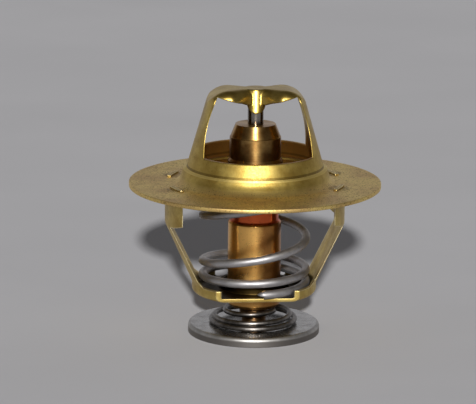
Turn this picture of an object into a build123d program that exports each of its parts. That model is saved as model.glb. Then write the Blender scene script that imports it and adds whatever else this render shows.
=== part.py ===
from build123d import *
import math
import os

# Engine thermostat of the wax type, with a bypass disc. It stands upright on that disc.
# The origin is on the axis at the underside of the disc, +Z runs up the axis, and the
# two arms of the bridge lie along +X and -X.

# ---------------------------------------------------------------- driving dimensions, mm
# Brass stampings
sheet = 0.8  # brass sheet of the flange and of the frame
flange_radius = 27.0
collar_wall_radius = 14.75  # outside of the collar above its step
collar_step_width = 0.65  # step that forms the valve seat, out from the collar's wall
collar_flare = 0.9  # foot of the collar, out from its step
ledge_height = 3.2  # top of the step above the flange
sill_height = 6.5  # lower edge of the bridge windows above the flange
bridge_height = 20.4  # top of the bridge above the flange
bridge_corner_radius = 9.8  # where the cone of the arms would meet the flat top
shoulder_bend = 5.5  # bend from the arms into the bridge
strap_end_width = 11.0  # bridge strap at its shoulders
strap_end_bend = 2.3  # rounding of its turned-down edges there
strap_end_drop = 1.2  # turned-down edges there, below the bridge top
strap_lobe_width = 8.6  # bridge strap on its way to the piston
strap_lobe_bend = 2.4
strap_lobe_drop = 2.65
strap_lobe_place = 3.3  # from the axis
strap_waist_width = 4.4  # bridge strap beside the piston
strap_waist_bend = 1.4
nose_drop = 5.2  # tip of the piston's socket below the bridge top
nose_half = 1.95  # half width of the socket's lips
arm_foot_width = 2.3  # arms seen from the front, at the windows' sill
arm_waist_width = 1.27  # half way up
arm_head_width = 1.65  # and at the windows' top
flange_bend = 1.6  # bend from the flange into its collar
ledge_bend = 0.3
cone_bend = 0.2  # bend from the ledge into the cone
leg_lap = 0.1  # strap outside the cone that trims its legs

# Lower frame
frame_wall_room = 0.6  # inside of the upright wall, out from the flange's bend
frame_wall_depth = 7.9  # upright wall, from the flange's underside down
frame_foot_room = 0.6  # inside of the wall round the plate, out from the main spring
frame_foot_height = 2.4
frame_depth = 23.35  # from the flange's underside to the plate's underside
frame_wall_edge = 3.2  # cut edges of the upright wall, in from its outside, seen from the front
leg_top_edge = 0.9  # cut edges of the legs, in from the outside at their top
leg_foot_edge = 0.8  # and at their feet
leg_notch = 1.2  # slanted corners of the frame windows
frame_wall_bend = 2.0  # bend from the upright wall into the legs
frame_foot_bend = 0.8
frame_plate_bend = 1.1  # round the plate and round its collar
plate_chord = 10.0  # flat front and back edge of the plate, from the axis
frame_collar_height = 3.85  # collar round the plate's hole
tab_angle = 23.5  # each tab from the middle of its leg, degrees
tab_arc = 15.4  # width of a tab, degrees
tab_proud = 0.35  # tab above the flange
tab_gap = 0.12  # slot round a tab

# Wax element
piston_radius = 1.7
piston_end_chamfer = 0.2
piston_gap = 0.03  # running fit of the piston in the guide
socket_gap = 0.02  # piston in the bridge's socket
guide_top_radius = 4.3
guide_radius = 5.5
guide_foot_radius = 5.9
guide_height = 10.3  # guide above the valve plate
guide_cone_height = 2.6
guide_cone_lip = 0.15
guide_foot_height = 2.4
guide_foot_rise = 0.6
guide_flange_radius = 7.0
guide_flange_thickness = 0.8
guide_shank_radius = 4.5
guide_shank_length = 8.6  # below the valve plate
cup_wall = 0.6
neck_step = 0.56  # cup outside its neck
cup_length = 18.6  # from the cup's bottom to its shoulder
cup_bottom_round = 1.0
cup_bend = 0.3  # at the shoulder and the neck
cup_lip_bend = 0.4
neck_length = 10.2  # from the shoulder to the valve plate
neck_lip_radius = 6.6
neck_gap = 0.04  # neck round the guide's shank
frame_hole_gap = 0.95  # cup in the frame's collar
diaphragm_thickness = 1.0
funnel_radius = 3.4  # mouth of the guide's bore over the diaphragm
funnel_depth = 1.6
plug_length = 4.0
plug_gap = 0.05
hard_disc_thickness = 0.4
fill_gap = 0.02  # wax inside the cup

# Main valve
valve_thickness = 0.9
valve_rim_gap = 0.3  # valve rim inside the collar
valve_skirt = 1.9
valve_edge_bend = 1.2
seat_gap = 0.05
valve_bore_gap = 0.05

# Main spring
spring_wire = 1.8
spring_room = 1.4  # outside of the spring, in from the main valve's skirt
spring_start_angle = 273.0  # degrees from +X, where the lower end is cut
spring_rise = [  # turns from the lower end, and the share of the height reached there
    (0.0, 0.0),
    (0.73, 0.085),
    (1.23, 0.14),
    (1.7, 0.195),
    (1.98, 0.33),
    (2.23, 0.455),
    (2.73, 0.64),
    (3.25, 0.86),
    (3.5, 0.93),
    (4.1, 1.0),
]
spring_seat_gap = 0.02

# Bypass valve
disc_radius = 14.2
disc_height = 2.0
disc_sheet = 0.8
disc_edge_bend = 0.75
stem_radius = 2.6
stem_head_radius = 3.1  # collar of the stem against the cup
stem_head_height = 1.4
stem_gap = 0.12  # bypass disc on its stem
stem_end_gap = 0.25  # stem above the disc's underside
bypass_spring_length = 3.7
bypass_wire = 1.15
bypass_foot_radius = 9.15  # middle of the wire at the disc
bypass_head_radius = 4.7  # middle of the wire at the cup
bypass_start_angle = 150.0  # degrees from +X, where the lower end is cut
bypass_rise = [  # turns from the lower end, and the share of the height reached there
    (0.0, 0.0),
    (0.5, 0.05),
    (1.5, 0.5),
    (2.0, 0.75),
    (2.5, 1.0),
]
bypass_narrowing = [(0.0, 0.0), (1.0, 0.14), (1.6, 0.32), (2.1, 0.7), (2.5, 1.0)]
bypass_seat_gap = 0.02
clip_radius = 4.0
clip_thickness = 0.5
clip_gap = 0.04
groove_depth = 0.35
clip_slot_angle = 70.0  # open side of the clip, degrees
coil_steps = 12  # points of a winding in each turn

# ---------------------------------------------------------------- heights, from the disc up
disc_top = disc_height
cup_bottom = disc_top + bypass_spring_length
cup_shoulder = cup_bottom + cup_length
valve_bottom = cup_shoulder + neck_length
valve_top = valve_bottom + valve_thickness
seat = valve_top + seat_gap  # underside of the collar's step
flange_top = seat + sheet - ledge_height
flange_bottom = flange_top - sheet
bridge_top = flange_top + bridge_height
plate_bottom = flange_bottom - frame_depth
plate_top = plate_bottom + sheet
guide_top = valve_top + guide_height
shank_bottom = valve_bottom - guide_shank_length
funnel_top = shank_bottom + funnel_depth
plug_bottom = funnel_top + plug_gap
hard_disc_bottom = plug_bottom + plug_length
piston_bottom = hard_disc_bottom + hard_disc_thickness
bore_radius = piston_radius + piston_gap
socket_radius = piston_radius + socket_gap
reach = 2 * flange_radius  # longer than any cut

# ---------------------------------------------------------------- radii, from the collar in
collar_step_radius = collar_wall_radius + collar_step_width
collar_foot_radius = collar_step_radius + collar_flare  # where the collar rises from the flange
frame_wall_radius = collar_foot_radius + flange_bend + frame_wall_room + sheet
valve_radius = collar_step_radius - sheet - valve_rim_gap
spring_outside = valve_radius - valve_thickness - spring_room
spring_radius = spring_outside - spring_wire / 2  # middle of the wire
frame_foot_radius = spring_outside + frame_foot_room + sheet
neck_bore = guide_shank_radius + neck_gap
neck_radius = neck_bore + cup_wall
cup_radius = neck_radius + neck_step

# ---------------------------------------------------------------- flange and bridge
ledge_top = flange_top + ledge_height
sill = flange_top + sill_height
strap_bottom = bridge_top - nose_drop - sheet
nose_radius = socket_radius + sheet
cone_slope = (collar_wall_radius - bridge_corner_radius) / (bridge_height - ledge_height)
cone_angle = math.atan(cone_slope)

# middle of the shoulder's bend, with the strap's leg just outside the cone that trims it
shoulder_rise = shoulder_bend * (1 - math.sin(cone_angle)) - leg_lap
shoulder_x = bridge_corner_radius - shoulder_rise / math.cos(cone_angle)
shoulder_z = bridge_top - shoulder_bend
leg_end_z = shoulder_z + shoulder_bend * math.sin(cone_angle)  # where the bend meets the cone


def cone_radius(z):
    """Outside of the arms' cone at height z."""
    return collar_wall_radius - cone_slope * (z - ledge_top)


def cone(inset):
    """Solid inside the arms' cone, inset by a wall, from the socket's tip to above the bridge."""
    wall = inset / math.cos(cone_angle)
    low, high = strap_bottom, bridge_top + sheet
    with BuildPart() as solid:
        with BuildSketch(Plane.XZ):
            Polygon(
                (0, low),
                (cone_radius(low) - wall, low),
                (cone_radius(high) - wall, high),
                (0, high),
                align=None,
            )
        revolve(axis=Axis.Z)
    return solid.part


def strap_section(x, width, bend, inset):
    """Cross-section of the bridge strap at x, inset by a wall. It reaches down to the lips
    of the piston's socket, and the windows cut its lower edges."""
    low, high = bridge_top - nose_drop + nose_half, bridge_top - inset
    with BuildSketch(Plane.YZ.offset(x)) as section:
        with Locations((0, (low + high) / 2)):
            Rectangle(width - 2 * inset, high - low)
        fillet(section.vertices().group_by(Axis.Y)[-1], bend - inset)
    return section.sketch


def strap(inset):
    """Bridge strap as a solid bar with rounded edges, inset by a wall: narrow beside the
    piston, full width from the shoulders on, and bent down into the arms. The piston's
    socket stands in its middle."""
    stations = [
        (-shoulder_x, strap_end_width, strap_end_bend),
        (-strap_lobe_place, strap_lobe_width, strap_lobe_bend),
        (0, strap_waist_width, strap_waist_bend),
        (strap_lobe_place, strap_lobe_width, strap_lobe_bend),
        (shoulder_x, strap_end_width, strap_end_bend),
    ]
    sections = [strap_section(x, width, bend, inset) for x, width, bend in stations]
    bend_axis = Axis((shoulder_x, 0, shoulder_z), (0, 1, 0))
    trim = cone(inset)
    with BuildPart() as bar:
        loft(sections)
        revolve(sections[-1], axis=bend_axis, revolution_arc=90 - math.degrees(cone_angle))
        extrude(bar.faces().sort_by(Axis.Z)[0], amount=sheet)
        mirror(about=Plane.YZ)
        with BuildSketch(Plane.XY.offset(strap_bottom)):
            Circle(nose_radius)
        extrude(amount=bridge_top - strap_bottom, mode=Mode.ADD if inset == 0 else Mode.SUBTRACT)
        add(trim, mode=Mode.INTERSECT)
    return bar.part


# middle of each tab, degrees from +X
tab_turns = [leg + side * tab_angle for leg in (0, 180) for side in (-1, 1)]


def ring_sector(inner, outer, arc, turn, gap=0.0):
    """Flat sector of a ring about the axis, its middle at the angle turn, grown by a gap."""
    spread = arc + 2 * math.degrees(gap / outer)
    with BuildSketch() as sector:
        Circle(outer + gap)
        Circle(inner - gap, mode=Mode.SUBTRACT)
        with BuildLine():
            half = math.radians(spread / 2)
            far = 2 * outer
            middle = math.radians(turn)
            Polyline(
                (0, 0),
                (far * math.cos(middle - half), far * math.sin(middle - half)),
                (far * math.cos(middle + half), far * math.sin(middle + half)),
                close=True,
            )
        make_face(mode=Mode.INTERSECT)
    return sector.sketch


window_head = bridge_top - strap_end_drop
window_waist = (sill + window_head) / 2
window_foot_half = cone_radius(sill) - arm_foot_width
window_waist_half = cone_radius(window_waist) - arm_waist_width
window_head_half = cone_radius(window_head) - arm_head_width
shell_top = leg_end_z - sheet / 2  # the strap's legs lap the shell below the bend
strap_bar = strap(0)
strap_hollow = strap(sheet)
tab_inner = frame_wall_radius - sheet
tab_slots = [
    ring_sector(tab_inner, frame_wall_radius, tab_arc, turn, tab_gap) for turn in tab_turns
]

with BuildPart() as flange_bridge:
    # flange, step and cone of the arms, drawn as one shell
    with BuildSketch(Plane.XZ):
        with BuildLine():
            FilletPolyline(
                (flange_radius, flange_top),
                (collar_foot_radius, flange_top),
                (collar_step_radius, ledge_top),
                (collar_wall_radius, ledge_top),
                (cone_radius(shell_top), shell_top),
                radius=[flange_bend, ledge_bend, cone_bend],
            )
            offset(amount=sheet, side=Side.LEFT)
        make_face()
    revolve(axis=Axis.Z)
    # the shell stays open at the front and back, under the strap's waist
    with BuildSketch(Plane.XZ):
        with Locations((0, sill)):
            Rectangle(2 * window_head_half, 2 * bridge_height, align=(Align.CENTER, Align.MIN))
    extrude(amount=reach, both=True, mode=Mode.SUBTRACT)
    add(strap_bar)
    add(strap_hollow, mode=Mode.SUBTRACT)
    with BuildSketch(Plane.XY.offset(strap_bottom)):
        Circle(socket_radius)
    extrude(amount=bridge_top - sheet - strap_bottom, mode=Mode.SUBTRACT)

    # the two windows, pierced from front to back, leave the socket's rounded lips
    lip_z = bridge_top - nose_drop + nose_half
    with BuildSketch(Plane.XZ):
        with BuildLine():
            Line((0, sill), (window_foot_half, sill))
            ThreePointArc(
                (window_foot_half, sill),
                (window_waist_half, window_waist),
                (window_head_half, window_head),
            )
            Polyline(
                (window_head_half, window_head),
                (strap_lobe_place, bridge_top - strap_lobe_drop),
                (nose_half, lip_z),
            )
            CenterArc((0, lip_z), nose_half, 0, -90)
            mirror(about=Plane.YZ)
        make_face()
    extrude(amount=reach, both=True, mode=Mode.SUBTRACT)

    # arc slots for the frame's tabs
    with BuildSketch(Plane.XY.offset(flange_bottom)):
        add(tab_slots)
    extrude(amount=sheet, mode=Mode.SUBTRACT)


# ---------------------------------------------------------------- lower frame
foot_top = plate_bottom + frame_foot_height
frame_window_half = frame_wall_radius - frame_wall_edge
leg_top_half = frame_wall_radius - leg_top_edge
leg_foot_half = frame_foot_radius - leg_foot_edge
hole_radius = cup_radius + frame_hole_gap
frame_tabs = [ring_sector(tab_inner, frame_wall_radius, tab_arc, turn) for turn in tab_turns]

with BuildPart() as lower_frame:
    # drawn cup: upright wall, cone, foot wall, plate and the collar round its hole
    with BuildSketch(Plane.XZ):
        with BuildLine():
            FilletPolyline(
                (frame_wall_radius, flange_bottom),
                (frame_wall_radius, flange_bottom - frame_wall_depth),
                (frame_foot_radius, foot_top),
                (frame_foot_radius, plate_bottom),
                (hole_radius, plate_bottom),
                (hole_radius, plate_bottom + frame_collar_height),
                radius=[frame_wall_bend, frame_foot_bend, frame_plate_bend, frame_plate_bend],
            )
            offset(amount=sheet, side=Side.RIGHT)
        make_face()
    revolve(axis=Axis.Z)

    # windows at the front and back, pierced straight through
    with BuildSketch(Plane.XZ):
        with BuildLine():
            Polyline(
                (0, flange_bottom),
                (frame_window_half, flange_bottom),
                (frame_window_half, flange_bottom - frame_wall_depth + leg_notch),
                (leg_top_half, flange_bottom - frame_wall_depth),
                (leg_foot_half, foot_top + leg_notch),
                (leg_foot_half - leg_notch, foot_top),
                (0, foot_top),
            )
            mirror(about=Plane.YZ)
        make_face()
    extrude(amount=reach, both=True, mode=Mode.SUBTRACT)

    # the plate and its foot wall are cut flat at the front and back
    with BuildSketch(Plane.XY.offset(plate_bottom)):
        Rectangle(reach, reach)
        Rectangle(reach, 2 * plate_chord, mode=Mode.SUBTRACT)
    extrude(amount=foot_top - plate_bottom, mode=Mode.SUBTRACT)

    # tabs through the flange
    with BuildSketch(Plane.XY.offset(flange_bottom)):
        add(frame_tabs)
    extrude(amount=sheet + tab_proud)

# ---------------------------------------------------------------- wax element
with BuildPart() as piston:
    with BuildSketch(Plane.XY.offset(piston_bottom)):
        Circle(piston_radius)
    extrude(amount=bridge_top - sheet - piston_bottom)
    chamfer(piston.edges().group_by(Axis.Z)[0], piston_end_chamfer)

with BuildPart() as anti_extrusion_disc:
    with BuildSketch(Plane.XY.offset(hard_disc_bottom)):
        Circle(bore_radius - plug_gap)
    extrude(amount=hard_disc_thickness)

with BuildPart() as rubber_plug:
    with BuildSketch(Plane.XY.offset(plug_bottom)):
        Circle(bore_radius - plug_gap)
    extrude(amount=plug_length)

with BuildPart() as guide:
    with BuildSketch(Plane.XZ):
        with BuildLine():
            Polyline(
                (bore_radius, guide_top),
                (guide_top_radius, guide_top),
                (guide_radius - guide_cone_lip, guide_top - guide_cone_height),
                (guide_radius, guide_top - guide_cone_height - guide_cone_lip),
                (guide_radius, valve_top + guide_foot_height + guide_foot_rise),
                (guide_foot_radius, valve_top + guide_foot_height),
                (guide_foot_radius, valve_top + guide_flange_thickness),
                (guide_flange_radius, valve_top + guide_flange_thickness),
                (guide_flange_radius, valve_top),
                (guide_shank_radius, valve_top),
                (guide_shank_radius, shank_bottom),
                (funnel_radius, shank_bottom),
                (bore_radius, funnel_top),
                close=True,
            )
        make_face()
    revolve(axis=Axis.Z)

with BuildPart() as diaphragm:
    with BuildSketch(Plane.XZ):
        with BuildLine():
            Polyline(
                (0, shank_bottom - diaphragm_thickness),
                (guide_shank_radius, shank_bottom - diaphragm_thickness),
                (guide_shank_radius, shank_bottom),
                (funnel_radius, shank_bottom),
                (bore_radius - plug_gap, funnel_top),
                (0, funnel_top),
                close=True,
            )
        make_face()
    revolve(axis=Axis.Z)

with BuildPart() as element_cup:
    # drawn cup, necked in over the guide and rolled out under the valve plate
    with BuildSketch(Plane.XZ):
        with BuildLine():
            FilletPolyline(
                (stem_radius, cup_bottom),
                (cup_radius, cup_bottom),
                (cup_radius, cup_shoulder),
                (neck_radius, cup_shoulder + cup_radius - neck_radius),
                (neck_radius, valve_bottom - cup_wall),
                (neck_lip_radius, valve_bottom - cup_wall),
                radius=[cup_bottom_round, cup_bend, cup_bend, cup_lip_bend],
            )
            offset(amount=cup_wall, side=Side.LEFT)
        make_face()
    revolve(axis=Axis.Z)

with BuildPart() as wax_charge:
    with BuildSketch(Plane.XY.offset(cup_bottom + cup_wall + fill_gap)):
        Circle(cup_radius - cup_wall - fill_gap)
    extrude(amount=cup_shoulder - cup_bottom - 2 * cup_wall - fill_gap)
    chamfer(wax_charge.edges().group_by(Axis.Z)[0], cup_bottom_round - cup_wall)
    # stub under the diaphragm, inside the neck
    with BuildSketch(Plane.XY.offset(cup_shoulder - cup_wall)):
        Circle(guide_shank_radius)
    extrude(amount=shank_bottom - diaphragm_thickness - cup_shoulder + cup_wall)

# ---------------------------------------------------------------- main valve and its spring
with BuildPart() as main_valve:
    with BuildSketch(Plane.XZ):
        with BuildLine():
            FilletPolyline(
                (guide_shank_radius + valve_bore_gap, valve_top),
                (valve_radius, valve_top),
                (valve_radius, valve_top - valve_skirt),
                radius=valve_edge_bend,
            )
            offset(amount=valve_thickness, side=Side.RIGHT)
        make_face()
    revolve(axis=Axis.Z)


def coil(wire, stations):
    """Round wire wound about the axis. A station is (turns, radius, height) of the wire's
    middle, and the line between stations is a smooth curve."""
    points = [
        (
            radius * math.cos(2 * math.pi * turns),
            radius * math.sin(2 * math.pi * turns),
            height,
        )
        for turns, radius, height in stations
    ]
    with BuildPart() as winding:
        with BuildLine() as path:
            Spline(*points)
        with BuildSketch(Plane(origin=path.line @ 0, z_dir=path.line % 0)):
            Circle(wire / 2)
        sweep(path=path.line)
    return winding.part


def profile(turns, table):
    """Value of a table of (turns, value) at so many turns, in a straight line between rows."""
    for (start, low), (end, high) in zip(table, table[1:]):
        if turns <= end:
            return low + (high - low) * (turns - start) / (end - start)
    return table[-1][1]


main_low = plate_top + spring_seat_gap + spring_wire / 2
main_high = valve_bottom - spring_seat_gap - spring_wire / 2
main_climb = main_high - main_low
spring_turns = spring_rise[-1][0]
spring_steps = round(spring_turns * coil_steps)
spring_wound = [spring_turns * i / spring_steps for i in range(spring_steps + 1)]
main_stations = [
    (
        spring_start_angle / 360 + turns,
        spring_radius,
        main_low + main_climb * profile(turns, spring_rise),
    )
    for turns in spring_wound
]
main_winding = coil(spring_wire, main_stations)
with BuildPart() as main_spring:
    add(main_winding)

# ---------------------------------------------------------------- bypass valve
stem_bottom = stem_end_gap
clip_top = disc_top - disc_sheet - clip_gap
groove_radius = stem_radius - groove_depth

with BuildPart() as bypass_stem:
    with BuildSketch(Plane.XY.offset(stem_bottom)):
        Circle(stem_radius)
    extrude(amount=cup_bottom + cup_wall - stem_bottom)
    with BuildSketch(Plane.XY.offset(cup_bottom - stem_head_height)):
        Circle(stem_head_radius)
    extrude(amount=stem_head_height)
    with BuildSketch(Plane.XY.offset(clip_top - clip_thickness - clip_gap)):
        Circle(stem_radius)
        Circle(groove_radius, mode=Mode.SUBTRACT)
    extrude(amount=clip_thickness + 2 * clip_gap, mode=Mode.SUBTRACT)
    chamfer(bypass_stem.edges().group_by(Axis.Z)[0], groove_depth / 2)

with BuildPart() as retaining_clip:
    with BuildSketch(Plane.XY.offset(clip_top - clip_thickness)):
        Circle(clip_radius)
        Circle(groove_radius + clip_gap, mode=Mode.SUBTRACT)
        with BuildLine():
            half_slot = math.radians(clip_slot_angle / 2)
            side = 2 * clip_radius
            Polyline(
                (0, 0),
                (side * math.cos(half_slot), side * math.sin(half_slot)),
                (side * math.cos(half_slot), -side * math.sin(half_slot)),
                close=True,
            )
        make_face(mode=Mode.SUBTRACT)
    extrude(amount=clip_thickness)

with BuildPart() as bypass_disc:
    # pressed disc with a turned-down rim
    with BuildSketch(Plane.XZ):
        with BuildLine():
            FilletPolyline(
                (stem_radius + stem_gap, disc_top),
                (disc_radius, disc_top),
                (disc_radius, 0),
                radius=disc_edge_bend,
            )
            offset(amount=disc_sheet, side=Side.RIGHT)
        make_face()
    revolve(axis=Axis.Z)

bypass_turns = bypass_rise[-1][0]
bypass_steps = round(bypass_turns * coil_steps)
bypass_low = disc_top + bypass_seat_gap + bypass_wire / 2
bypass_high = cup_bottom - bypass_seat_gap - bypass_wire / 2
bypass_inward = bypass_foot_radius - bypass_head_radius
bypass_climb = bypass_high - bypass_low
bypass_wound = [bypass_turns * i / bypass_steps for i in range(bypass_steps + 1)]
bypass_stations = [
    (
        bypass_start_angle / 360 + turns,
        bypass_foot_radius - bypass_inward * profile(turns, bypass_narrowing),
        bypass_low + bypass_climb * profile(turns, bypass_rise),
    )
    for turns in bypass_wound
]
bypass_winding = coil(bypass_wire, bypass_stations)
with BuildPart() as bypass_spring:
    add(bypass_winding)

# ---------------------------------------------------------------- export
os.makedirs("parts", exist_ok=True)

flange_bridge.part.label = "flange_bridge"
export_step(flange_bridge.part, "parts/flange_bridge.step")

lower_frame.part.label = "lower_frame"
export_step(lower_frame.part, "parts/lower_frame.step")

piston.part.label = "piston"
export_step(piston.part, "parts/piston.step")

anti_extrusion_disc.part.label = "anti_extrusion_disc"
export_step(anti_extrusion_disc.part, "parts/anti_extrusion_disc.step")

rubber_plug.part.label = "rubber_plug"
export_step(rubber_plug.part, "parts/rubber_plug.step")

guide.part.label = "guide"
export_step(guide.part, "parts/guide.step")

diaphragm.part.label = "diaphragm"
export_step(diaphragm.part, "parts/diaphragm.step")

element_cup.part.label = "element_cup"
export_step(element_cup.part, "parts/element_cup.step")

wax_charge.part.label = "wax_charge"
export_step(wax_charge.part, "parts/wax_charge.step")

main_valve.part.label = "main_valve"
export_step(main_valve.part, "parts/main_valve.step")

main_spring.part.label = "main_spring"
export_step(main_spring.part, "parts/main_spring.step")

bypass_stem.part.label = "bypass_stem"
export_step(bypass_stem.part, "parts/bypass_stem.step")

bypass_spring.part.label = "bypass_spring"
export_step(bypass_spring.part, "parts/bypass_spring.step")

retaining_clip.part.label = "retaining_clip"
export_step(retaining_clip.part, "parts/retaining_clip.step")

bypass_disc.part.label = "bypass_disc"
export_step(bypass_disc.part, "parts/bypass_disc.step")
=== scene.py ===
import math

import bmesh
import bpy
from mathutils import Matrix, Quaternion, Vector


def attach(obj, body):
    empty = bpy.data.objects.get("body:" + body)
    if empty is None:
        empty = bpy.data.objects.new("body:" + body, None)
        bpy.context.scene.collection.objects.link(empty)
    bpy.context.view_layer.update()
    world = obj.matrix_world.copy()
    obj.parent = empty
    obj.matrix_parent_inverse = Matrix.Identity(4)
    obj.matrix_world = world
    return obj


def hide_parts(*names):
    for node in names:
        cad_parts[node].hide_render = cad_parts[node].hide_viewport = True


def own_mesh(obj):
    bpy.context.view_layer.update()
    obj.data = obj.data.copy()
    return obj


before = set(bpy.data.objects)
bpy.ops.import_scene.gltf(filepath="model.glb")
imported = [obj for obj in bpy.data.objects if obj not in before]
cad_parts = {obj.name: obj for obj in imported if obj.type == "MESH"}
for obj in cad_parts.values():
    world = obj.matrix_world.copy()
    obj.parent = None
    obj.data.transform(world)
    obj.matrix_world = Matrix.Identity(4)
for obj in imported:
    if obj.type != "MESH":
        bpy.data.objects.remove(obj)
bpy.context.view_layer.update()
scene = bpy.context.scene
scene.view_settings.view_transform = "Standard"

MM = 0.001

# Heights on the axis, shared by the pieces made here and their materials
DISC_TOP = 2.0 * MM
CUP_BOTTOM = 5.7 * MM
PLATE_TOP = 9.7 * MM
CUP_SHOULDER = 24.3 * MM
FLANGE_TOP = 33.05 * MM
VALVE_BOTTOM = 34.5 * MM
LEDGE_TOP = 36.25 * MM
# Radii of the pieces, where their finishes change
COLLAR_WALL = 14.75 * MM
SOCKET_RADIUS = 2.52 * MM
FRAME_FOOT_INSIDE = 12.6 * MM
DISC_RADIUS = 14.2 * MM
# The cone of the collar and arms: its slope, and its outside radius carried down to height 0
CONE_SLOPE = 0.2878
CONE_OUTSIDE = 25.18 * MM
# Middle of a tab, in the quarter where x and y are positive
TAB_PLACE = (17.3 * MM, 7.5 * MM, 0.0)


# ------------------------------------------------------------------ materials
def paint(code):
    """Linear colour of an sRGB hex value."""
    parts = [int(code[i : i + 2], 16) / 255 for i in (1, 3, 5)]
    return [v / 12.92 if v <= 0.04045 else ((v + 0.055) / 1.055) ** 2.4 for v in parts] + [1.0]


def add(tree, kind, settings=None, sockets=None):
    """Adds a node with its settings. A socket takes a value, a colour or another node's output."""
    made = tree.nodes.new(kind)
    for name, value in (settings or {}).items():
        setattr(made, name, value)
    for name, value in (sockets or {}).items():
        if isinstance(value, bpy.types.NodeSocket):
            tree.links.new(value, made.inputs[name])
        elif isinstance(value, str):
            made.inputs[name].default_value = paint(value)
        else:
            made.inputs[name].default_value = value
    return made


def new_material(name):
    """A material whose tree is still empty, and that tree."""
    material = bpy.data.materials.new(name)
    material.use_nodes = True
    tree = material.node_tree
    tree.nodes.clear()
    return material, tree


def from_axis(tree, place):
    """Height, place seen from above, and distance from the axis, of a point on the piece."""
    split = add(tree, "ShaderNodeSeparateXYZ", sockets={"Vector": place})
    level = add(
        tree, "ShaderNodeCombineXYZ", sockets={"X": split.outputs["X"], "Y": split.outputs["Y"]}
    )
    radius = add(
        tree,
        "ShaderNodeVectorMath",
        {"operation": "LENGTH"},
        {"Vector": level.outputs["Vector"]},
    )
    return split.outputs["Z"], level.outputs["Vector"], radius.outputs["Value"]


# A colour mix has one factor, two colours in and one out, by their places in the node
FACTOR, FIRST, SECOND, MIXED = 0, 6, 7, 2


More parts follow.
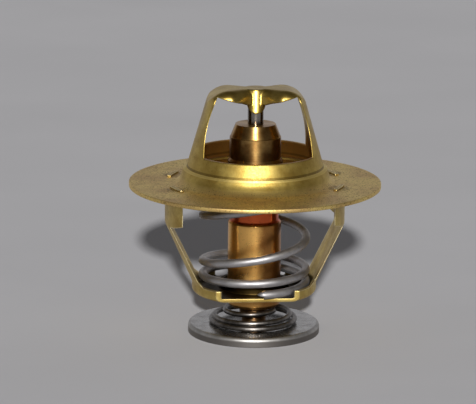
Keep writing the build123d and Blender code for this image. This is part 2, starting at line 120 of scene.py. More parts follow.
def drawn_metal(
    name,
    light,
    dark,
    stain,
    bare,
    rough,
    grain_mm,
    bump,
    blotch_mm=3.0,
    stain_share=0.45,
    edge=0.1,
    painted_shade=None,
    dulled=None,
):
    """Drawn or pressed sheet: cloudy colour, small stains, and a fine grain in gloss and relief.
    Its edges look worn round to the radius edge, in mm, and worn to the bare colour. The painted
    shade is the colour, radius, bottom and top of a stretch round the axis that is painted darker
    in place of shade. Dulled is the roughness of what lies beyond a radius, and that radius."""
    material, tree = new_material(name)
    place = add(tree, "ShaderNodeTexCoord").outputs["Object"]
    clouds = add(
        tree,
        "ShaderNodeTexNoise",
        sockets={"Vector": place, "Scale": 1 / (blotch_mm * MM), "Detail": 4.0, "Roughness": 0.6},
    )
    tone = add(
        tree,
        "ShaderNodeMapRange",
        sockets={"Value": clouds.outputs["Fac"], "From Min": 0.35, "From Max": 0.65},
    )
    base = add(
        tree,
        "ShaderNodeMix",
        {"data_type": "RGBA"},
        {FACTOR: tone.outputs["Result"], FIRST: light, SECOND: dark},
    )
    specks = add(
        tree,
        "ShaderNodeTexNoise",
        sockets={"Vector": place, "Scale": 1 / (grain_mm * 2.5 * MM), "Detail": 3.0, "Roughness": 0.7},
    )
    stains = add(
        tree,
        "ShaderNodeMapRange",
        sockets={
            "Value": specks.outputs["Fac"],
            "From Min": 0.56,
            "From Max": 0.72,
            "To Max": stain_share,
        },
    )
    colour = add(
        tree,
        "ShaderNodeMix",
        {"data_type": "RGBA"},
        {FACTOR: stains.outputs["Result"], FIRST: base.outputs[MIXED], SECOND: stain},
    )
    grain = add(
        tree,
        "ShaderNodeTexNoise",
        sockets={"Vector": place, "Scale": 1 / (grain_mm * MM), "Detail": 2.0},
    )
    gloss = add(
        tree,
        "ShaderNodeMapRange",
        sockets={
            "Value": specks.outputs["Fac"],
            "From Min": 0.3,
            "From Max": 0.7,
            "To Min": rough - 0.05,
            "To Max": rough + 0.1,
        },
    )
    edges = add(tree, "ShaderNodeBevel", {"samples": 6}, {"Radius": edge * MM})
    lay = add(tree, "ShaderNodeNewGeometry")
    turned_away = add(
        tree,
        "ShaderNodeVectorMath",
        {"operation": "DOT_PRODUCT"},
        {0: edges.outputs["Normal"], 1: lay.outputs["True Normal"]},
    )
    worn = add(
        tree,
        "ShaderNodeMapRange",
        sockets={
            "Value": turned_away.outputs["Value"],
            "From Min": 0.97,
            "From Max": 0.8,
            "To Max": 0.8,
        },
    )
    wear_and_painted_light = add(
        tree,
        "ShaderNodeMix",
        {"data_type": "RGBA"},
        {FACTOR: worn.outputs["Result"], FIRST: colour.outputs[MIXED], SECOND: bare},
    )
    if painted_shade or dulled:
        height, _, radius = from_axis(tree, place)
    # painted shade: a stretch round the axis is mixed towards a darker colour, standing in for shade
    if painted_shade:
        shade_colour, reach, bottom, top = painted_shade
        within = add(
            tree,
            "ShaderNodeMapRange",
            sockets={"Value": radius, "From Min": reach, "From Max": reach - 0.2 * MM},
        )
        above = add(
            tree,
            "ShaderNodeMapRange",
            sockets={"Value": height, "From Min": bottom - 0.15 * MM, "From Max": bottom},
        )
        below = add(
            tree,
            "ShaderNodeMapRange",
            sockets={"Value": height, "From Min": top, "From Max": top - 0.3 * MM},
        )
        between = add(
            tree,
            "ShaderNodeMath",
            {"operation": "MULTIPLY"},
            {0: above.outputs["Result"], 1: below.outputs["Result"]},
        )
        shaded_band = add(
            tree,
            "ShaderNodeMath",
            {"operation": "MULTIPLY"},
            {0: between.outputs["Value"], 1: within.outputs["Result"]},
        )
        wear_and_painted_light = add(
            tree,
            "ShaderNodeMix",
            {"data_type": "RGBA"},
            {FACTOR: shaded_band.outputs["Value"], FIRST: wear_and_painted_light.outputs[MIXED], SECOND: shade_colour},
        )
    if dulled:
        dullness, start = dulled
        gloss = add(
            tree,
            "ShaderNodeMapRange",
            sockets={
                "Value": radius,
                "From Min": start - 0.3 * MM,
                "From Max": start,
                "To Min": gloss.outputs["Result"],
                "To Max": dullness,
            },
        )
    relief = add(
        tree,
        "ShaderNodeBump",
        sockets={
            "Height": grain.outputs["Fac"],
            "Strength": 1.0,
            "Distance": bump * MM,
            "Normal": edges.outputs["Normal"],
        },
    )
    surface = add(
        tree,
        "ShaderNodeBsdfPrincipled",
        sockets={
            "Base Color": wear_and_painted_light.outputs[MIXED],
            "Metallic": 1.0,
            "Roughness": gloss.outputs["Result"],
            "Normal": relief.outputs["Normal"],
        },
    )
    add(tree, "ShaderNodeOutputMaterial", sockets={"Surface": surface.outputs["BSDF"]})
    return material


def turned_metal(name, light, dark, rough, ring_mm, bump, streak):
    """Turned bar: fine rings round the axis in gloss and relief, over a cloudy colour. The rings
    are wider apart than a real tool's feed of about 0.05 mm, so that they show."""
    material, tree = new_material(name)
    place = add(tree, "ShaderNodeTexCoord").outputs["Object"]
    split = add(tree, "ShaderNodeSeparateXYZ", sockets={"Vector": place})
    # rings: noise that changes along the axis only
    upright = add(tree, "ShaderNodeCombineXYZ", sockets={"Z": split.outputs["Z"]})
    rings = add(
        tree,
        "ShaderNodeTexNoise",
        sockets={"Vector": upright.outputs["Vector"], "Scale": 1 / (ring_mm * MM), "Detail": 3.0},
    )
    clouds = add(
        tree,
        "ShaderNodeTexNoise",
        sockets={"Vector": place, "Scale": 1 / (2.2 * MM), "Detail": 4.0, "Roughness": 0.6},
    )
    tone = add(
        tree,
        "ShaderNodeMapRange",
        sockets={"Value": clouds.outputs["Fac"], "From Min": 0.35, "From Max": 0.68},
    )
    colour = add(
        tree,
        "ShaderNodeMix",
        {"data_type": "RGBA"},
        {FACTOR: tone.outputs["Result"], FIRST: light, SECOND: dark},
    )
    gloss = add(
        tree,
        "ShaderNodeMapRange",
        sockets={
            "Value": rings.outputs["Fac"],
            "From Min": 0.3,
            "From Max": 0.7,
            "To Min": rough - 0.05,
            "To Max": rough + 0.08,
        },
    )
    relief = add(
        tree,
        "ShaderNodeBump",
        sockets={"Height": rings.outputs["Fac"], "Strength": 1.0, "Distance": bump * MM},
    )
    # the rings spread a highlight along the axis, so the tangent round it is turned upright
    round_axis = add(tree, "ShaderNodeTangent", {"direction_type": "RADIAL", "axis": "Z"})
    surface = add(
        tree,
        "ShaderNodeBsdfPrincipled",
        sockets={
            "Base Color": colour.outputs[MIXED],
            "Metallic": 1.0,
            "Roughness": gloss.outputs["Result"],
            "Anisotropic": streak,
            "Anisotropic Rotation": 0.25,
            "Tangent": round_axis.outputs["Tangent"],
            "Normal": relief.outputs["Normal"],
        },
    )
    add(tree, "ShaderNodeOutputMaterial", sockets={"Surface": surface.outputs["BSDF"]})
    return material


def moulded(name, light, dark, rough, grain_mm, sheen=0.0):
    """Rubber, plastic or wax: no metal, with a dull mottled skin."""
    material, tree = new_material(name)
    place = add(tree, "ShaderNodeTexCoord").outputs["Object"]
    mottle = add(
        tree,
        "ShaderNodeTexNoise",
        sockets={"Vector": place, "Scale": 1 / (grain_mm * MM), "Detail": 3.0},
    )
    colour = add(
        tree,
        "ShaderNodeMix",
        {"data_type": "RGBA"},
        {FACTOR: mottle.outputs["Fac"], FIRST: light, SECOND: dark},
    )
    relief = add(
        tree,
        "ShaderNodeBump",
        sockets={"Height": mottle.outputs["Fac"], "Strength": 1.0, "Distance": 0.02 * MM},
    )
    surface = add(
        tree,
        "ShaderNodeBsdfPrincipled",
        sockets={
            "Base Color": colour.outputs[MIXED],
            "Roughness": rough,
            "Sheen Weight": sheen,
            "Normal": relief.outputs["Normal"],
        },
    )
    add(tree, "ShaderNodeOutputMaterial", sockets={"Surface": surface.outputs["BSDF"]})
    return material


def flange_finish():
    """Deep-drawn brass of the flange and its bridge: dull olive gold. It's painted lighter and
    browner in patches on the flat, a painted reflection of the pale cloth it faces, and speckled
    there; orange brown inside the collar; its ledge has a painted highlight, with painted shade in
    the corner over it; and its edges are worn round."""
    material, tree = new_material("drawn_brass_flange")
    place = add(tree, "ShaderNodeTexCoord").outputs["Object"]
    height, level, radius = from_axis(tree, place)

    # where the colour changes: on the flat, painted lighter as a reflection of the pale cloth, and on
    # the inside of the collar, browned by tarnish
    flat = add(
        tree,
        "ShaderNodeMapRange",
        sockets={
            "Value": height,
            "From Min": FLANGE_TOP + 1.6 * MM,
            "From Max": FLANGE_TOP + 0.1 * MM,
        },
    )
    # radius carried down to height 0 along the cone of the collar and arms
    slant = add(
        tree,
        "ShaderNodeMath",
        {"operation": "MULTIPLY_ADD"},
        {0: height, 1: CONE_SLOPE, 2: radius},
    )
    inside = add(
        tree,
        "ShaderNodeMapRange",
        sockets={
            "Value": slant.outputs["Value"],
            "From Min": CONE_OUTSIDE - 0.2 * MM,
            "From Max": CONE_OUTSIDE - 0.5 * MM,
        },
    )
    low = add(
        tree,
        "ShaderNodeMapRange",
        sockets={
            "Value": height,
            "From Min": FLANGE_TOP + 13 * MM,
            "From Max": FLANGE_TOP + 7 * MM,
        },
    )
    collar_inside = add(
        tree,
        "ShaderNodeMath",
        {"operation": "MULTIPLY"},
        {0: inside.outputs["Result"], 1: low.outputs["Result"]},
    )

    # scuffs where the tabs of the lower frame were staked, alike in all four quarters
    mirrored = add(tree, "ShaderNodeVectorMath", {"operation": "ABSOLUTE"}, {"Vector": level})
    from_tab = add(
        tree,
        "ShaderNodeVectorMath",
        {"operation": "DISTANCE"},
        {0: mirrored.outputs["Vector"], 1: TAB_PLACE},
    )
    scuff = add(
        tree,
        "ShaderNodeMapRange",
        {"interpolation_type": "SMOOTHSTEP"},
        {
            "Value": from_tab.outputs["Value"],
            "From Min": 3.4 * MM,
            "From Max": 1.2 * MM,
        },
    )

    # colour: clouds of lighter and darker brass, then the flat's painted lighter tone and the collar's
    # tarnish, then dark specks
    clouds = add(
        tree,
        "ShaderNodeTexNoise",
        sockets={"Vector": place, "Scale": 1 / (3.2 * MM), "Detail": 4.0, "Roughness": 0.6},
    )
    tone = add(
        tree,
        "ShaderNodeMapRange",
        sockets={"Value": clouds.outputs["Fac"], "From Min": 0.35, "From Max": 0.65},
    )
    brass = add(
        tree,
        "ShaderNodeMix",
        {"data_type": "RGBA"},
        {FACTOR: tone.outputs["Result"], FIRST: "#C8AF60", SECOND: "#A88C44"},
    )
    patches = add(
        tree,
        "ShaderNodeTexNoise",
        sockets={"Vector": place, "Scale": 1 / (7.0 * MM), "Detail": 5.0, "Roughness": 0.65},
    )
    patched = add(
        tree,
        "ShaderNodeMapRange",
        sockets={"Value": patches.outputs["Fac"], "From Min": 0.4, "From Max": 0.6, "To Max": 0.75},
    )
    # painted reflection: a lighter, paler brass on the flat, standing in for the pale cloth it mirrors
    flat_brass = add(
        tree,
        "ShaderNodeMix",
        {"data_type": "RGBA"},
        {FACTOR: patched.outputs["Result"], FIRST: "#ECD184", SECOND: "#CFAC70"},
    )
    flat_lightened = add(
        tree,
        "ShaderNodeMix",
        {"data_type": "RGBA"},
        {
            FACTOR: flat.outputs["Result"],
            FIRST: brass.outputs[MIXED],
            SECOND: flat_brass.outputs[MIXED],
        },
    )
    browned = add(
        tree,
        "ShaderNodeMix",
        {"data_type": "RGBA"},
        {
            FACTOR: collar_inside.outputs["Value"],
            FIRST: flat_lightened.outputs[MIXED],
            SECOND: "#A87C3E",
        },
    )
    specks = add(
        tree,
        "ShaderNodeTexNoise",
        sockets={"Vector": place, "Scale": 1 / (0.42 * MM), "Detail": 3.0, "Roughness": 0.7},
    )
    speck_low = add(
        tree,
        "ShaderNodeMapRange",
        sockets={"Value": flat.outputs["Result"], "To Min": 0.62, "To Max": 0.54},
    )
    speck_high = add(
        tree,
        "ShaderNodeMath",
        {"operation": "MULTIPLY_ADD"},
        {0: scuff.outputs["Result"], 1: 0.12, 2: specks.outputs["Fac"]},
    )
    speck_depth = add(
        tree,
        "ShaderNodeMath",
        {"operation": "SUBTRACT"},
        {0: speck_high.outputs["Value"], 1: speck_low.outputs["Result"]},
    )
    specked = add(
        tree,
        "ShaderNodeMapRange",
        sockets={"Value": speck_depth.outputs["Value"], "From Max": 0.12, "To Max": 0.7},
    )
    dirty = add(
        tree,
        "ShaderNodeMix",
        {"data_type": "RGBA"},
        {FACTOR: specked.outputs["Result"], FIRST: browned.outputs[MIXED], SECOND: "#5A401E"},
    )
    # the ledge of the collar gets a painted highlight, and painted shade darkens the corner over it
    outside = add(
        tree,
        "ShaderNodeMapRange",
        sockets={
            "Value": radius,
            "From Min": COLLAR_WALL - 0.25 * MM,
            "From Max": COLLAR_WALL - 0.15 * MM,
        },
    )
    at_ledge = add(
        tree,
        "ShaderNodeMath",
        {"operation": "COMPARE"},
        {0: height, 1: LEDGE_TOP - 0.05 * MM, 2: 0.2 * MM},
    )
    on_ledge = add(
        tree,
        "ShaderNodeMath",
        {"operation": "MULTIPLY"},
        {0: at_ledge.outputs["Value"], 1: outside.outputs["Result"]},
    )
    in_corner = add(
        tree,
        "ShaderNodeMath",
        {"operation": "COMPARE"},
        {0: height, 1: LEDGE_TOP + 0.42 * MM, 2: 0.26 * MM},
    )
    painted_corner_shade = add(
        tree,
        "ShaderNodeMath",
        {"operation": "MULTIPLY"},
        {0: in_corner.outputs["Value"], 1: 0.6},
    )
    # painted highlight: the ledge is mixed to a bright brass
    wear_and_painted_light = add(
        tree,
        "ShaderNodeMix",
        {"data_type": "RGBA"},
        {FACTOR: on_ledge.outputs["Value"], FIRST: dirty.outputs[MIXED], SECOND: "#D6BE72"},
    )
    # painted shade: the corner over the ledge is mixed darker
    colour = add(
        tree,
        "ShaderNodeMix",
        {"data_type": "RGBA"},
        {FACTOR: painted_corner_shade.outputs["Value"], FIRST: wear_and_painted_light.outputs[MIXED], SECOND: "#5E4A20"},
    )

    # gloss and relief: satin with rougher specks, the foot bend of the collar, worn edges
    gloss = add(
        tree,
        "ShaderNodeMapRange",
        sockets={
            "Value": specks.outputs["Fac"],
            "From Min": 0.3,
            "From Max": 0.7,
            "To Min": 0.43,
            "To Max": 0.55,
        },
    )
    bridge_gloss = add(
        tree,
        "ShaderNodeMath",
        {"operation": "MULTIPLY_ADD"},
        {0: low.outputs["Result"], 1: 0.14, 2: -0.14},
    )
    roughness = add(
        tree,
        "ShaderNodeMath",
        {"operation": "ADD"},
        {0: gloss.outputs["Result"], 1: bridge_gloss.outputs["Value"]},
    )
    grain = add(
        tree,
        "ShaderNodeTexNoise",
        sockets={"Vector": place, "Scale": 1 / (0.3 * MM), "Detail": 2.0},
    )
    grain_depth = add(
        tree,
        "ShaderNodeMapRange",
        sockets={"Value": scuff.outputs["Result"], "To Min": 0.012 * MM, "To Max": 0.22 * MM},
    )
    foot = add(
        tree,
        "ShaderNodeMapRange",
        {"interpolation_type": "SMOOTHSTEP"},
        {
            "Value": height,
            "From Min": FLANGE_TOP + 2.7 * MM,
            "From Max": FLANGE_TOP,
            "To Max": 0.75 * MM,
        },
    )
    profile = add(
        tree,
        "ShaderNodeMath",
        {"operation": "MULTIPLY_ADD"},
        {
            0: grain.outputs["Fac"],
            1: grain_depth.outputs["Result"],
            2: foot.outputs["Result"],
        },
    )
    edges = add(tree, "ShaderNodeBevel", {"samples": 8}, {"Radius": 0.5 * MM})
    # the piston's socket flares upwards, so its lips face up a little
    on_socket = add(
        tree,
        "ShaderNodeMapRange",
        sockets={
            "Value": radius,
            "From Min": SOCKET_RADIUS + 0.33 * MM,
            "From Max": SOCKET_RADIUS + 0.08 * MM,
            "To Max": 0.3,
        },
    )
    upwards = add(tree, "ShaderNodeCombineXYZ", sockets={"Z": on_socket.outputs["Result"]})
    leaning = add(
        tree,
        "ShaderNodeVectorMath",
        {"operation": "ADD"},
        {0: edges.outputs["Normal"], 1: upwards.outputs["Vector"]},
    )
    # the ledge with the painted highlight also slopes and faces outwards in its shading normal
    ledge_slope = add(
        tree, "ShaderNodeMath", {"operation": "MULTIPLY"}, {0: on_ledge.outputs["Value"], 1: 2.5}
    )
    outwards = add(tree, "ShaderNodeVectorMath", {"operation": "NORMALIZE"}, {"Vector": level})
    ledge_tilt = add(
        tree,
        "ShaderNodeVectorMath",
        {"operation": "SCALE"},
        {"Vector": outwards.outputs["Vector"], "Scale": ledge_slope.outputs["Value"]},
    )
    sloped = add(
        tree,
        "ShaderNodeVectorMath",
        {"operation": "ADD"},
        {0: leaning.outputs["Vector"], 1: ledge_tilt.outputs["Vector"]},
    )
    facing = add(
        tree,
        "ShaderNodeVectorMath",
        {"operation": "NORMALIZE"},
        {"Vector": sloped.outputs["Vector"]},
    )
    relief = add(
        tree,
        "ShaderNodeBump",
        sockets={
            "Height": profile.outputs["Value"],
            "Strength": 1.0,
            "Distance": 1.0,
            "Normal": facing.outputs["Vector"],
        },
    )
    surface = add(
        tree,
        "ShaderNodeBsdfPrincipled",
        sockets={
            "Base Color": colour.outputs[MIXED],
            "Metallic": 1.0,
            "Roughness": roughness.outputs["Value"],
            "Normal": relief.outputs["Normal"],
        },
    )
    add(tree, "ShaderNodeOutputMaterial", sockets={"Surface": surface.outputs["BSDF"]})
    return material


def cup_finish():
    """Deep-drawn copper alloy of the element's cup, coloured by heat. Painted shade browns one side
    and darkens its foot.
    """
    material, tree = new_material("drawn_copper_cup")
    place = add(tree, "ShaderNodeTexCoord").outputs["Object"]
    split = add(tree, "ShaderNodeSeparateXYZ", sockets={"Vector": place})
    clouds = add(
        tree,
        "ShaderNodeTexNoise",
        sockets={"Vector": place, "Scale": 1 / (3.0 * MM), "Detail": 5.0, "Roughness": 0.65},
    )
    # place across the cup, ragged by the clouds
    across = add(
        tree,
        "ShaderNodeMath",
        {"operation": "MULTIPLY_ADD"},
        {0: clouds.outputs["Fac"], 1: 5.0 * MM, 2: split.outputs["X"]},
    )
    # painted shade: browner on the +x side, standing in for the dark spring and room mirrored there
    browner = add(
        tree,
        "ShaderNodeMapRange",
        sockets={
            "Value": across.outputs["Value"],
            "From Min": 2.6 * MM,
            "From Max": 4.4 * MM,
            "To Max": 0.8,
        },
    )
    body = add(
        tree,
        "ShaderNodeMix",
        {"data_type": "RGBA"},
        {FACTOR: browner.outputs["Result"], FIRST: "#F4BE6C", SECOND: "#9E6636"},
    )
    # painted shade: darker towards the foot, where the plate shades the cup
    at_foot = add(
        tree,
        "ShaderNodeMapRange",
        sockets={
            "Value": split.outputs["Z"],
            "From Min": CUP_BOTTOM + 6.5 * MM,
            "From Max": CUP_BOTTOM + 3.5 * MM,
            "To Max": 0.7,
        },
    )
    footed = add(
        tree,
        "ShaderNodeMix",
        {"data_type": "RGBA"},
        {FACTOR: at_foot.outputs["Result"], FIRST: body.outputs[MIXED], SECOND: "#8A6234"},
    )
    on_neck = add(
        tree,
        "ShaderNodeMapRange",
        sockets={
            "Value": split.outputs["Z"],
            "From Min": CUP_SHOULDER + 0.1 * MM,
            "From Max": CUP_SHOULDER + 0.4 * MM,
        },
    )
    necked = add(
        tree,
        "ShaderNodeMix",
        {"data_type": "RGBA"},
        {FACTOR: on_neck.outputs["Result"], FIRST: footed.outputs[MIXED], SECOND: "#CF6238"},
    )
    specks = add(
        tree,
        "ShaderNodeTexNoise",
        sockets={"Vector": place, "Scale": 1 / (0.5 * MM), "Detail": 3.0, "Roughness": 0.7},
    )
    stains = add(
        tree,
        "ShaderNodeMapRange",
        sockets={
            "Value": specks.outputs["Fac"],
            "From Min": 0.58,
            "From Max": 0.72,
            "To Max": 0.45,
        },
    )
    colour = add(
        tree,
        "ShaderNodeMix",
        {"data_type": "RGBA"},
        {FACTOR: stains.outputs["Result"], FIRST: necked.outputs[MIXED], SECOND: "#6A3A1C"},
    )
    gloss = add(
        tree,
        "ShaderNodeMapRange",
        sockets={
            "Value": clouds.outputs["Fac"],
            "From Min": 0.3,
            "From Max": 0.7,
            "To Min": 0.26,
            "To Max": 0.34,
        },
    )
    # draw marks: noise that changes round the cup and hardly along it
    drawn = add(
        tree,
        "ShaderNodeVectorMath",
        {"operation": "MULTIPLY"},
        {0: place, 1: (1.0, 1.0, 0.05)},
    )
    marks = add(
        tree,
        "ShaderNodeTexNoise",
        sockets={"Vector": drawn.outputs["Vector"], "Scale": 1 / (0.35 * MM), "Detail": 3.0},
    )
    edges = add(tree, "ShaderNodeBevel", {"samples": 6}, {"Radius": 0.2 * MM})
    relief = add(
        tree,
        "ShaderNodeBump",
        sockets={
            "Height": marks.outputs["Fac"],
            "Strength": 1.0,
            "Distance": 0.012 * MM,
            "Normal": edges.outputs["Normal"],
        },
    )
    surface = add(
        tree,
        "ShaderNodeBsdfPrincipled",
        sockets={
            "Base Color": colour.outputs[MIXED],
            "Metallic": 1.0,
            "Roughness": gloss.outputs["Result"],
            "Normal": relief.outputs["Normal"],
        },
    )
    add(tree, "ShaderNodeOutputMaterial", sockets={"Surface": surface.outputs["BSDF"]})
    return material


flange_brass = flange_finish()
# The same sheet, less handled: brighter and yellower, with a satin gloss, and painted shade
# darkening it inside its foot, where the spring stands
frame_brass = drawn_metal(
    "drawn_brass_frame",
    light="#D0B86C",
    dark="#B2954E",
    stain="#7E6430",
    bare="#FFF2C4",
    rough=0.4,
    grain_mm=0.2,
    bump=0.008,
    edge=0.4,
    painted_shade=("#3E3119", FRAME_FOOT_INSIDE + 0.15 * MM, PLATE_TOP, PLATE_TOP + 2.8 * MM),
)
# Pressed brass plate, bright where it wipes the seat
valve_brass = drawn_metal(
    "pressed_brass_valve",
    light="#CDB566",
    dark="#B0924A",
    stain="#6B5226",
    bare="#E8D694",
    rough=0.3,
    grain_mm=0.2,
    bump=0.006,
    edge=0.2,
)
# Deep-drawn copper alloy, smooth and glossy: golden orange, with painted shade browning one side
# and darkening its foot, and red on its neck
cup_copper = cup_finish()
# Turned brass, browned by heat: fine turning rings and a narrow bright streak
guide_brass = turned_metal(
    "turned_brass_guide",
    light="#B8945A",
    dark="#8A6436",
    rough=0.33,
    ring_mm=0.12,
    bump=0.004,
    streak=0.6,
)
# Turned brass pin, brown and dull
stem_brass = turned_metal(
    "turned_brass_stem",
    light="#B08A62",
    dark="#84603C",
    rough=0.34,
    ring_mm=0.12,
    bump=0.004,
    streak=0.6,
)
# Ground steel pin: near mirror, with fine rings
piston_steel = turned_metal(
    "ground_steel_piston",
    light="#A39D96",
    dark="#7D776F",
    rough=0.2,
    ring_mm=0.1,
    bump=0.002,
    streak=0.6,
)
# Drawn spring wire, bare: satin grey steel
spring_steel = drawn_metal(
    "drawn_steel_wire",
    light="#B8B6B7",
    dark="#A6A4A5",
    stain="#6A6662",
    bare="#C4C2C3",
    rough=0.5,
    grain_mm=0.2,
    bump=0.003,
    blotch_mm=2.5,
    stain_share=0.25,
)
# Drawn spring wire with a dark oxide skin
dark_wire = drawn_metal(
    "oxide_steel_wire",
    light="#8A8682",
    dark="#5E5A57",
    stain="#2A2725",
    bare="#8A8682",
    rough=0.34,
    grain_mm=0.14,
    bump=0.004,
    blotch_mm=1.5,
)
# Stamped clip of oxidised steel: dark grey brown, mottled, with lighter edges
dark_steel = drawn_metal(
    "oxide_steel_clip",
    light="#857868",
    dark="#5E5448",
    stain="#332C25",
    bare="#94897A",
    rough=0.3,
    grain_mm=0.14,
    bump=0.005,
    blotch_mm=1.5,
)
# Pressed steel disc, bright dipped: grey with faint cloudy stains, smooth enough to mirror the
# spring that stands on it, rubbed dull round its rim, and darker down its side with painted shade
disc_steel = drawn_metal(
    "pressed_steel_disc",
    light="#B8B6B3",
    dark="#9E9C99",
    stain="#7A7774",
    bare="#C0BEBB",
    rough=0.24,
    grain_mm=0.7,
    bump=0.001,
    edge=0.22,
    painted_shade=("#76726E", 2 * DISC_RADIUS, -DISC_TOP, 0.7 * DISC_TOP),
    dulled=(0.5, DISC_RADIUS - 0.4 * MM),
)
# Moulded nitrile rubber: black and dull
element_rubber = moulded(
    "moulded_rubber_membrane", light="#1C1C1C", dark="#101010", rough=0.6, grain_mm=0.3, sheen=0.1
)
# Turned fluoropolymer disc: waxy white
hard_plastic = moulded(
    "turned_hard_plastic_disc", light="#E4E2DC", dark="#D6D3CB", rough=0.35, grain_mm=0.3
)
# Cast wax with copper powder: dull reddish brown
wax = moulded("cast_wax_charge", light="#9A5F3C", dark="#7C4728", rough=0.55, grain_mm=0.4)

finishes = {
    "flange_bridge": flange_brass,
    "lower_frame": frame_brass,
    "piston": piston_steel,
    "anti_extrusion_disc": hard_plastic,
    "rubber_plug": element_rubber,
    "guide": guide_brass,
    "diaphragm": element_rubber,
    "element_cup": cup_copper,
    "wax_charge": wax,
    "main_valve": valve_brass,
    "main_spring": spring_steel,
    "bypass_stem": stem_brass,
    "bypass_spring": dark_wire,
    "retaining_clip": dark_steel,
    "bypass_disc": disc_steel,
}
for node, finish in finishes.items():
    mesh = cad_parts[node].data
    mesh.materials.clear()
    mesh.materials.append(finish)


# ------------------------------------------------------------------ springs
def wire_coil(name, wire, place_at, steps, finish, sides=20):
    """Round wire along the line place_at(share), from 0 to 1, with cut ends."""
    bm = bmesh.new()
    rings = []
    for i in range(steps + 1):
        share = i / steps
        middle = place_at(share)
        ahead = (place_at(min(share + 1e-4, 1.0)) - place_at(max(share - 1e-4, 0.0))).normalized()
        out = Vector((middle.x, middle.y, 0)).normalized()
        out = (out - ahead * out.dot(ahead)).normalized()
        up = ahead.cross(out)
        rings.append(
            [
                bm.verts.new(
                    middle
                    + out * (wire / 2 * math.cos(2 * math.pi * k / sides))
                    + up * (wire / 2 * math.sin(2 * math.pi * k / sides))
                )
                for k in range(sides)
            ]
        )
    for first, second in zip(rings, rings[1:]):
        for k in range(sides):
            bm.faces.new((first[k], first[(k + 1) % sides], second[(k + 1) % sides], second[k]))
    bm.faces.new(rings[0][::-1])
    bm.faces.new(rings[-1])
    bmesh.ops.recalc_face_normals(bm, faces=bm.faces)
    mesh = bpy.data.meshes.new(name)
    bm.to_mesh(mesh)
    bm.free()
    for face in mesh.polygons:
        face.use_smooth = len(face.vertices) == 4
    mesh.materials.append(finish)
    coil = bpy.data.objects.new(name, mesh)
    scene.collection.objects.link(coil)
    return coil


def along(turns, table):
    """Value of a table of (turns, value) at so many turns, in a straight line between rows."""
    for (start, low), (end, high) in zip(table, table[1:]):
        if turns <= end:
            return low + (high - low) * (turns - start) / (end - start)
    return table[-1][1]


def smooth_along(turns, table, reach=0.06):
    """The same, with the corners between rows rounded off."""
    last = table[-1][0]
    places = [min(max(turns + reach * k, 0.0), last) for k in (-2, -1, 0, 1, 2)]
    ends = along(0.0, table), along(last, table)
    value = sum(along(place, table) for place in places) / len(places)
    return ends[0] if turns <= 0 else ends[1] if turns >= last else value


SEAT_GAP = 0.02 * MM
MAIN_WIRE = 1.8 * MM
MAIN_RADIUS = 11.1 * MM
MAIN_START = math.radians(273.0)
MAIN_STEPS = 460
# Turns from the lower end, and the share of the height reached there. The top turn lies close
# under the valve, which leaves the neck of the cup open to view
MAIN_RISE = [
    (0.0, 0.0),
    (0.73, 0.085),
    (1.23, 0.14),
    (1.7, 0.195),
    (1.98, 0.33),
    (2.23, 0.455),
    (2.73, 0.64),
    (3.0, 0.83),
    (3.25, 0.9),
    (3.5, 0.945),
    (4.1, 1.0),
]


def main_spring_line(share):
    """Middle of the main spring's wire: close turns at both ends, open ones between."""
    turns = share * MAIN_RISE[-1][0]
    low = PLATE_TOP + SEAT_GAP + MAIN_WIRE / 2
    high = VALVE_BOTTOM - SEAT_GAP - MAIN_WIRE / 2
    angle = MAIN_START + 2 * math.pi * turns
    height = low + (high - low) * smooth_along(turns, MAIN_RISE)
    return Vector((MAIN_RADIUS * math.cos(angle), MAIN_RADIUS * math.sin(angle), height))


main_spring = wire_coil("main_spring_coil", MAIN_WIRE, main_spring_line, MAIN_STEPS, spring_steel)
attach(main_spring, "housing")
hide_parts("main_spring")
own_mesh(main_spring)

BYPASS_WIRE = 1.15 * MM
BYPASS_START = math.radians(150.0)
BYPASS_STEPS = 320
# Middle of the wire, on the disc and against the cup
BYPASS_FOOT = 9.15 * MM
BYPASS_HEAD = 4.7 * MM
# Turns from the lower end, and the shares of the height and of the narrowing reached there
BYPASS_RISE = [(0.0, 0.0), (0.5, 0.05), (1.5, 0.5), (2.0, 0.75), (2.5, 1.0)]
BYPASS_NARROWING = [(0.0, 0.0), (1.0, 0.14), (1.6, 0.32), (2.1, 0.7), (2.5, 1.0)]


def bypass_spring_line(share):
    """Middle of the bypass spring's wire: wide turns on the disc, narrowing up to the cup."""
    turns = share * BYPASS_RISE[-1][0]
    angle = BYPASS_START + 2 * math.pi * turns
    radius = BYPASS_FOOT - (BYPASS_FOOT - BYPASS_HEAD) * smooth_along(turns, BYPASS_NARROWING)
    low = DISC_TOP + SEAT_GAP + BYPASS_WIRE / 2
    high = CUP_BOTTOM - SEAT_GAP - BYPASS_WIRE / 2
    height = low + (high - low) * smooth_along(turns, BYPASS_RISE)
    return Vector((radius * math.cos(angle), radius * math.sin(angle), height))


bypass_spring = wire_coil(
    "bypass_spring_coil", BYPASS_WIRE, bypass_spring_line, BYPASS_STEPS, dark_wire
)
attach(bypass_spring, "element")
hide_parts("bypass_spring")
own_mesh(bypass_spring)

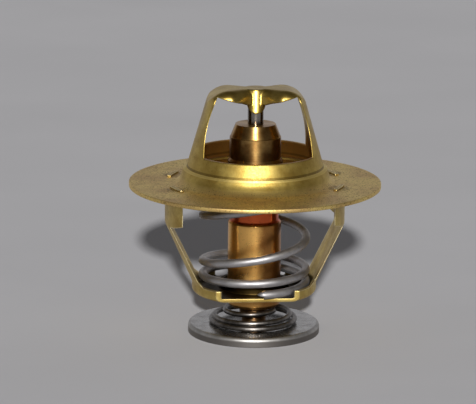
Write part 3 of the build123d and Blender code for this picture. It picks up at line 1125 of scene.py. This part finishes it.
# ------------------------------------------------------------------ floor
# Pale grey cotton cloth, ironed smooth: broad soft folds, and a weave too fine to be seen
cloth, tree = new_material("woven_cotton_floor")
place = add(tree, "ShaderNodeTexCoord").outputs["Object"]
folds = add(
    tree,
    "ShaderNodeTexNoise",
    sockets={"Vector": place, "Scale": 9.0, "Detail": 3.0, "Roughness": 0.4},
)
shade = add(
    tree,
    "ShaderNodeMix",
    {"data_type": "RGBA"},
    {FACTOR: folds.outputs["Fac"], FIRST: "#C8C8CC", SECOND: "#D0D0D4"},
)
relief = add(
    tree,
    "ShaderNodeBump",
    sockets={"Height": folds.outputs["Fac"], "Strength": 1.0, "Distance": 1.5 * MM},
)
surface = add(
    tree,
    "ShaderNodeBsdfPrincipled",
    sockets={
        "Base Color": shade.outputs[MIXED],
        "Roughness": 0.9,
        "Specular IOR Level": 0.1,
        "Normal": relief.outputs["Normal"],
    },
)
add(tree, "ShaderNodeOutputMaterial", sockets={"Surface": surface.outputs["BSDF"]})

FLOOR_HALF = 8.0
floor_mesh = bpy.data.meshes.new("floor")
floor_mesh.from_pydata(
    [(x * FLOOR_HALF, y * FLOOR_HALF, 0.0) for x, y in ((-1, -1), (1, -1), (1, 1), (-1, 1))],
    [],
    [(0, 1, 2, 3)],
)
floor_mesh.materials.append(cloth)
floor = bpy.data.objects.new("floor", floor_mesh)
scene.collection.objects.link(floor)

# ------------------------------------------------------------------ view and light
CAMERA_PLACE = Vector((-52.7, -602.7, 169.05)) * MM
CAMERA_AIM = Vector((-3.59, 0.31, 28.45)) * MM
CAMERA_ROLL = math.radians(0.5)
CAMERA_LENS = 218.9
FILM_WIDTH = 36.0

# A lamp a little right of the camera and above it, wide enough for a soft-edged shadow
LAMP_ELEVATION = math.radians(21.5)
LAMP_ASIDE = math.radians(0.8)
LAMP_WIDTH = math.radians(2.6)
LAMP_STRENGTH = 3.8
lamp_turn = math.atan2(CAMERA_PLACE.x, -CAMERA_PLACE.y) + LAMP_ASIDE
lamp_from = Vector(
    (
        math.sin(lamp_turn) * math.cos(LAMP_ELEVATION),
        -math.cos(lamp_turn) * math.cos(LAMP_ELEVATION),
        math.sin(LAMP_ELEVATION),
    )
)
lamp_data = bpy.data.lights.new("front_lamp", "SUN")
lamp_data.energy = LAMP_STRENGTH
lamp_data.angle = LAMP_WIDTH
lamp_data.color = (1.0, 0.99, 0.97)
lamp = bpy.data.objects.new("front_lamp", lamp_data)
lamp.rotation_euler = (-lamp_from).to_track_quat("-Z", "Y").to_euler()
scene.collection.objects.link(lamp)

# The room: pale cloth behind, darker at the sides, overhead and towards the camera
world = bpy.data.worlds.new("room")
scene.world = world
world.use_nodes = True
tree = world.node_tree
tree.nodes.clear()
way = add(tree, "ShaderNodeTexCoord").outputs["Generated"]
split = add(tree, "ShaderNodeSeparateXYZ", sockets={"Vector": way})
behind = add(
    tree,
    "ShaderNodeMapRange",
    {"interpolation_type": "SMOOTHSTEP"},
    {"Value": split.outputs["Y"], "From Min": -0.2, "From Max": 0.6},
)
above = add(
    tree,
    "ShaderNodeMapRange",
    {"interpolation_type": "SMOOTHSTEP"},
    {"Value": split.outputs["Z"], "From Min": 0.3, "From Max": 0.8},
)
back_wall = add(
    tree,
    "ShaderNodeMix",
    {"data_type": "RGBA"},
    {FACTOR: behind.outputs["Result"], FIRST: "#484644", SECOND: "#B6B6BA"},
)
room = add(
    tree,
    "ShaderNodeMix",
    {"data_type": "RGBA"},
    {FACTOR: above.outputs["Result"], FIRST: back_wall.outputs[MIXED], SECOND: "#4A4846"},
)
background = add(
    tree, "ShaderNodeBackground", sockets={"Color": room.outputs[MIXED], "Strength": 1.0}
)
add(tree, "ShaderNodeOutputWorld", sockets={"Surface": background.outputs["Background"]})

# ------------------------------------------------------------------ camera
camera_data = bpy.data.cameras.new("camera")
camera_data.sensor_width = FILM_WIDTH
camera_data.lens = CAMERA_LENS
camera_data.clip_start = 0.05
camera_data.clip_end = 30.0
camera = bpy.data.objects.new("camera", camera_data)
camera.location = CAMERA_PLACE
facing = (CAMERA_AIM - CAMERA_PLACE).to_track_quat("-Z", "Y")
camera.rotation_euler = (facing @ Quaternion((0, 0, 1), CAMERA_ROLL)).to_euler()
scene.collection.objects.link(camera)
scene.camera = camera
